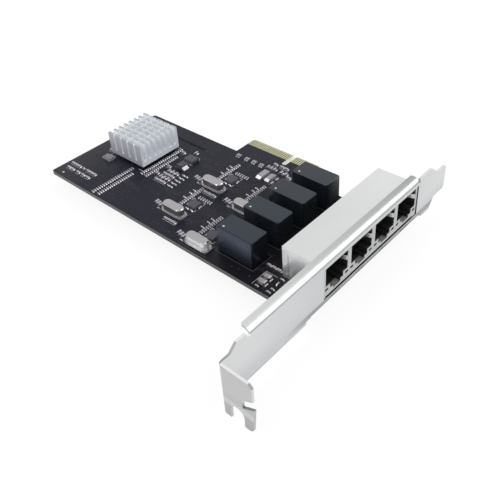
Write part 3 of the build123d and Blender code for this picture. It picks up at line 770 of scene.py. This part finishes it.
def corner_ticks(shape, low, high, margin, arm, corners):
    """Printed right angles at some corners of a box. A corner is the signs of its x and y."""
    for sx, sy in corners:
        x = (high.x if sx > 0 else low.x) + sx * margin
        y = (high.y if sy > 0 else low.y) + sy * margin
        path = [(x - sx * arm, y), (x, y), (x, y - sy * arm)]
        shape.strip(path, PRINTED_LINE, BOARD_TOP, BOARD_TOP + INK)


def channel_print(shape, dim, number):
    """The outlines, the corner ticks and the first-pin dot of one network channel."""
    margin = 0.9 * MM
    dot = 0.28 * MM
    ink_frame(dim, *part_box(f"transformer_{number}"), margin=0.75 * MM)
    low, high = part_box(f"network_chip_{number}")
    corner_ticks(shape, low, high, margin, arm=1.3 * MM, corners=((1, -1), (1, 1), (-1, 1)))
    shape.disc(low.x - margin, low.y - margin, dot, BOARD_TOP, BOARD_TOP + INK)
    ink_frame(dim, *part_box(f"crystal_can_{number}"), margin=0.55 * MM, sides="NS")


def component_side_print(materials):
    """The printed outlines, corner ticks and polarity dots on the component side."""
    capacitor_end = 0.3 * MM
    dot = 0.45 * MM
    dot_place = (board_low.x + 4.9 * MM, board_low.y + 2.2 * MM)
    shape = Shape()
    dim = Shape()
    for low, high in islands("chip_capacitors"):
        axis = 0 if high.x - low.x > high.y - low.y else 1
        low[axis] -= capacitor_end
        high[axis] += capacitor_end
        ink_frame(shape, low, high, margin=0.42 * MM, width=0.1 * MM, sides="EW" if axis else "NS")
    for number in CHANNELS:
        channel_print(shape, dim, number)
    ink_frame(shape, *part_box("regulator_chip"), margin=0.3 * MM, sides="NS")
    ink_frame(shape, *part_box("large_capacitors"), margin=1.5 * MM, width=0.12 * MM, sides="NW")
    shape.disc(*dot_place, dot, BOARD_TOP, BOARD_TOP + INK)
    corner_ticks(shape, *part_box("heatsink"), margin=0.6 * MM, arm=3.0 * MM,
                 corners=((-1, -1), (-1, 1), (1, -1), (1, 1)))
    ink_frame(dim, *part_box("jack_shield"), margin=0.5 * MM, sides="W")
    shape.piece("component_side_print", materials["ink_white"], "ceramic_white")
    dim.piece("component_side_outlines", materials["ink_dim"], "ceramic_white")


class Conductors(Shape):
    """Conductors under the mask. ends keeps the places where some of them change sides."""

    def __init__(self):
        super().__init__()
        self.ends = []

    def bundle(self, path, count, pitch, width, below=False, through=False):
        """Parallel conductors along a path, all in mm, above the board or below it."""
        low = BOARD_BOTTOM - FOIL if below else BOARD_TOP
        for index in range(count):
            distance = (index - (count - 1) / 2) * pitch * MM
            route = moved_sideways([(x * MM, y * MM) for x, y in path], distance, 0.4)
            self.strip(route, width * MM, low, low + FOIL)
            if through:
                self.ends += [route[0], route[-1]]


def contact_runs(copper):
    """From every edge contact inwards, at uneven lengths."""
    shortest = 2.6
    unevenness = 3.2
    for low, high in islands("edge_contacts_component_side"):
        x = (low.x + high.x) / 2 / MM
        y = low.y / MM
        length = shortest + unevenness * abs(math.sin(x * 1.7))
        copper.bundle([(x, y), (x, y - length)], count=1, pitch=1, width=0.2, through=True)


def lane_runs(copper):
    """From the contacts through the coupling capacitors to the switch."""
    contacts = -8.6
    capacitors_near_end = -14.8
    capacitors_far_end = -13.4
    for x in (-18.7, -14.1, -10.3, -6.1):
        lane = [(x, contacts), (x, capacitors_far_end)]
        copper.bundle(lane, count=2, pitch=0.55, width=0.18)
        y = -23.5 + x * 0.08
        switch = -30 + x * 0.1
        lane = [(x, capacitors_near_end), (x, y + 6), (x - 6, y), (switch, y)]
        copper.bundle(lane, count=2, pitch=0.45, width=0.16)


def channel_runs(copper):
    """From the network chips to their transformers and back towards the switch."""
    channels = (("network_chip_1", "transformer_4"), ("network_chip_2", "transformer_2"),
                ("network_chip_3", "transformer_3"), ("network_chip_4", "transformer_1"))
    shortest_lead = 0.8
    lead_share = 0.6
    slant = 0.7
    for chip, magnetics in channels:
        chip_low, chip_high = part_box(chip)
        mag_low, mag_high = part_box(magnetics)
        start = chip_high.x / MM
        end = mag_low.x / MM
        y0 = (chip_low.y + chip_high.y) / 2 / MM
        y1 = (mag_low.y + mag_high.y) / 2 / MM
        climb = abs(y1 - y0)
        turn = start + max(shortest_lead, (end - start - climb) * lead_share)
        lead = [(start, y0), (turn, y0), (turn + climb * slant, y1), (end, y1)]
        copper.bundle(lead, count=8, pitch=0.5, width=0.16)
        left = chip_low.x / MM
        back = [(left - 1.2, y0 + 4), (left - 5.5, y0 + 4), (left - 8.5, y0 + 1),
                (left - 14, y0 + 1)]
        copper.bundle(back, count=6, pitch=0.45, width=0.16, through=True)


def socket_runs(copper):
    """From the transformers to the sockets."""
    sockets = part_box("jack_shield")[0].x / MM
    for number in CHANNELS:
        low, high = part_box(f"transformer_{number}")
        middle = (low.y + high.y) / 2 / MM
        for y in (middle - 2.6, middle + 0.9):
            copper.bundle([(high.x / MM, y), (sockets, y + 0.6)], count=3, pitch=0.55, width=0.22)


def switch_runs(copper):
    """Out from under the heatsink, on the near side and on the far side."""
    sink_low, sink_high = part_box("heatsink")
    first = (sink_low.x + sink_high.x) / 2 / MM - 6
    near = sink_low.y / MM - 1.5
    far = sink_high.y / MM + 1.5
    for index in range(5):
        x = first + index * 2.8
        reach = 4 + index * 2.1
        turn = near - reach * 0.4
        nearwards = [(x, near + 3), (x, turn), (x + 4, turn - 4), (x + 14, turn - 4)]
        farwards = [(x, far - 3), (x, far + 1), (x + 3.5, far + 4.5), (x + 7 + reach, far + 4.5)]
        for path in (nearwards, farwards):
            copper.bundle(path, count=3, pitch=0.5, width=0.18, through=True)


def solder_side_runs(copper):
    """Along the board, below it."""
    nearest = -60
    step = 5.6
    for index in range(9):
        y = nearest + index * step
        path = [(-60 + index * 3, y), (-30 + index * 2, y), (-24 + index * 2, y + 6),
                (8 + index, y + 6)]
        copper.bundle(path, count=4, pitch=0.6, width=0.2, below=True, through=True)


def conductors(materials):
    """Every conductor that shows under the mask. Gives the places where some change sides."""
    copper = Conductors()
    for runs in (contact_runs, lane_runs, channel_runs, socket_runs, switch_runs,
                 solder_side_runs):
        runs(copper)
    copper.piece("conductors", materials["copper_under_mask"], "soldermask_black")
    return copper.ends


def occupied():
    """The (low, high) corners of what stands on the board, apart from its largest pieces."""
    largest = 30 * MM
    standing = BOARD_TOP - 0.1 * MM
    taken = []
    for node in frame["nodes"]:
        low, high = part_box(node)
        if low.z > standing and high.x - low.x < largest:
            taken.append((low, high))
    for node in ("chip_resistors", "bypass_capacitors", "chip_capacitors"):
        taken += islands(node)
    return taken


def via_places(ends):
    """The ends of conductors and places scattered over the board, where nothing is in the way."""
    scattered = 420
    edge_margin = 2 * MM
    shoulder_margin = 1.5 * MM
    sockets = 39 * MM
    clear = 0.5 * MM
    spacing = 1.1 * MM
    near_shoulder = BOARD_SHOULDER - 1 * MM
    notch_side = 2 * MM
    notch_floor = -9.5 * MM
    taken = occupied()
    places = [(end.x, end.y) for end in ends]
    for _ in range(scattered):
        places.append((random.uniform(board_low.x + edge_margin, sockets),
                       random.uniform(board_low.y + edge_margin, BOARD_SHOULDER - shoulder_margin)))
    kept = []
    for x, y in places:
        hidden = any(low.x - clear < x < high.x + clear and low.y - clear < y < high.y + clear
                     for low, high in taken)
        crowded = any(abs(x - a) + abs(y - b) < spacing for a, b in kept)
        off_board = y > near_shoulder and not TONGUE_LEFT < x < TONGUE_RIGHT
        at_notch = abs(x) < notch_side and y > notch_floor
        if not (hidden or crowded or off_board or at_notch):
            kept.append((x, y))
    return kept


def vias(materials, ends):
    """Plated through holes, as a low ring and a plug on both sides of the board."""
    foot = 0.3 * MM
    rim = 0.27 * MM
    hole = 0.13 * MM
    ring_height = 1.6 * FOIL
    plug_height = 2.2 * FOIL
    rings = Shape()
    plugs = Shape()
    for x, y in via_places(ends):
        for face, outward in ((BOARD_TOP, 1), (BOARD_BOTTOM, -1)):
            profile = [(foot, face), (rim, face + outward * ring_height)]
            rings.turned(x, y, profile, sides=12)
            plugs.disc(x, y, hole, face, face + outward * plug_height, sides=10)
    rings.piece("via_rings", materials["copper_under_mask"], "soldermask_black")
    plugs.piece("via_plugs", materials["package_black"], "soldermask_black")


def solder_joints(materials):
    """A cone of solder round every pin tail below the board."""
    thin_pin = 1 * MM
    skirt = ((1, 0), (0.97, 0.06), (0.72, 0.28))
    height = 0.75 * MM
    shape = Shape()
    for node in ("jack_pins", "transformer_pins"):
        for low, high in islands(node):
            x = (low.x + high.x) / 2
            y = (low.y + high.y) / 2
            thin = max(high.x - low.x, high.y - low.y) < thin_pin
            radius, tip = (0.55 * MM, 0.3 * MM) if thin else (1.1 * MM, 0.84 * MM)
            profile = [(radius * share, BOARD_BOTTOM - drop * MM) for share, drop in skirt]
            profile.append((tip, BOARD_BOTTOM - height))
            shape.turned(x, y, profile, sides=12)
    shape.piece("solder_joints", materials["tinned_metal"], "tinned_metal")


def solder_side_print(materials):
    """Printed outlines below the transformers and the sockets."""
    shape = Shape()
    edge_margin = 2.2 * MM
    nodes = [f"transformer_{number}" for number in CHANNELS] + ["jack_shield"]
    for node in nodes:
        low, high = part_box(node)
        x0 = low.x
        x1 = min(high.x, board_high.x - edge_margin)
        path = [(x0, low.y), (x1, low.y), (x1, high.y), (x0, high.y), (x0, low.y)]
        for start, end in zip(path, path[1:]):
            shape.strip([start, end], PRINTED_LINE, BOARD_BOTTOM - INK, BOARD_BOTTOM)
    shape.piece("solder_side_print", materials["ink_white"], "ceramic_white")


def chip_marks(materials):
    """First-pin dots on the transformers and the chips, sized and placed in mm."""
    shape = Shape()
    thickness = 0.012
    dots = [(f"transformer_{number}", 0.38, 2.5, 1.4) for number in CHANNELS]
    dots += [(f"network_chip_{number}", 0.2, 0.7, 0.7) for number in CHANNELS]
    for node, radius, x, y in dots:
        low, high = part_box(node)
        shape.disc(low.x + x * MM, low.y + y * MM, radius * MM, high.z, high.z + thickness * MM,
                   sides=16)
    shape.piece("first_pin_dots", materials["ink_white"], "ceramic_white")


def ray_is(tree, *kinds):
    """1 for rays of either of two kinds, else 0."""
    path = tree.nodes.new("ShaderNodeLightPath")
    return calculate(tree, "MAXIMUM", *[path.outputs[kind] for kind in kinds])


def floor_material():
    """Matt and pale, and white to the camera apart from a share that keeps the shadow."""
    white_share = 0.85
    white = 1.03
    material = bpy.data.materials.new("studio_floor")
    material.use_nodes = True
    tree = material.node_tree
    shader = tree.nodes["Principled BSDF"]
    shader.inputs["Base Color"].default_value = (0.93, 0.93, 0.93, 1)
    shader.inputs["Roughness"].default_value = 0.9
    shader.inputs["Specular IOR Level"].default_value = 0.1
    glow = tree.nodes.new("ShaderNodeEmission")
    glow.inputs["Strength"].default_value = white
    mix = tree.nodes.new("ShaderNodeMixShader")
    seen = ray_is(tree, "Is Camera Ray", "Is Glossy Ray")
    tree.links.new(product(tree, seen, white_share), mix.inputs["Fac"])
    tree.links.new(shader.outputs[0], mix.inputs[1])
    tree.links.new(glow.outputs[0], mix.inputs[2])
    tree.links.new(mix.outputs[0], tree.nodes["Material Output"].inputs["Surface"])
    return material


def stage_floor():
    """A wide pale floor just below the card."""
    size = 3.0
    z = CAD_BOX[0][2] - 0.02 * MM
    data = bpy.data.meshes.new("floor")
    corners = [(-size, -size, z), (size, -size, z), (size, size, z), (-size, size, z)]
    data.from_pydata(corners, [], [(0, 1, 2, 3)])
    data.materials.append(floor_material())
    floor = bpy.data.objects.new("floor", data)
    bpy.context.scene.collection.objects.link(floor)


def white_world():
    """A white surround that lights the card a little less than it shows."""
    lighting = 0.7
    world = bpy.data.worlds.new("studio")
    world.use_nodes = True
    tree = world.node_tree
    background = tree.nodes["Background"]
    background.inputs["Color"].default_value = (1, 1, 1, 1)
    seen = ray_is(tree, "Is Camera Ray", "Is Transmission Ray")
    level = remap(tree, seen, lighting, 1.0, 0, 1)
    tree.links.new(level, background.inputs["Strength"])
    bpy.context.scene.world = world


def lamp(name, place, target, size, watts):
    """A soft square lamp that faces a target."""
    data = bpy.data.lights.new(name, "AREA")
    data.shape = "SQUARE"
    data.size = size
    data.energy = watts
    item = bpy.data.objects.new(name, data)
    item.location = place
    item.rotation_euler = (Vector(target) - Vector(place)).to_track_quat("-Z", "Y").to_euler()
    bpy.context.scene.collection.objects.link(item)


def lights():
    """The white world and three large soft lamps."""
    white_world()
    centre = (-0.01, -0.045, 0)
    lamp("key", (-0.25, -0.4, 0.65), centre, size=0.45, watts=1.7)
    lamp("side", (0.65, 0.1, 0.4), centre, size=0.45, watts=1.0)
    lamp("back", (0.38, 0.5, 0.55), centre, size=0.4, watts=0.9)


def camera():
    """The photograph's camera, solved from the card's own standard sizes."""
    place = Vector((143.88, -177.17, 148.63)) * MM
    forward = Vector((-0.55891, 0.57649, -0.59605)).normalized()
    up = Vector((-0.36304, 0.47614, 0.80093))
    right = forward.cross(up).normalized()
    up = right.cross(forward).normalized()
    picture = 500
    focal_px = 660.02
    centre_px = (250.0, 200.0)
    data = bpy.data.cameras.new("camera")
    data.sensor_fit = "HORIZONTAL"
    data.sensor_width = 36.0
    data.lens = focal_px / picture * data.sensor_width
    data.shift_x = (picture / 2 - centre_px[0]) / picture
    data.shift_y = (centre_px[1] - picture / 2) / picture
    data.clip_start = 0.01
    data.clip_end = 20
    item = bpy.data.objects.new("camera", data)
    item.matrix_world = Matrix((
        (right.x, up.x, -forward.x, place.x),
        (right.y, up.y, -forward.y, place.y),
        (right.z, up.z, -forward.z, place.z),
        (0, 0, 0, 1),
    ))
    bpy.context.scene.collection.objects.link(item)
    bpy.context.scene.camera = item


def main():
    """Dresses the card, then sets the stage."""
    materials = make_materials()
    dress_nodes(materials)
    small_chip_parts(materials)
    solder_at_chip_parts(materials)
    leadless_contacts(materials)
    component_side_print(materials)
    vias(materials, conductors(materials))
    solder_joints(materials)
    solder_side_print(materials)
    chip_marks(materials)
    stage_floor()
    lights()
    camera()
    bpy.context.scene.view_settings.view_transform = "Standard"


main()
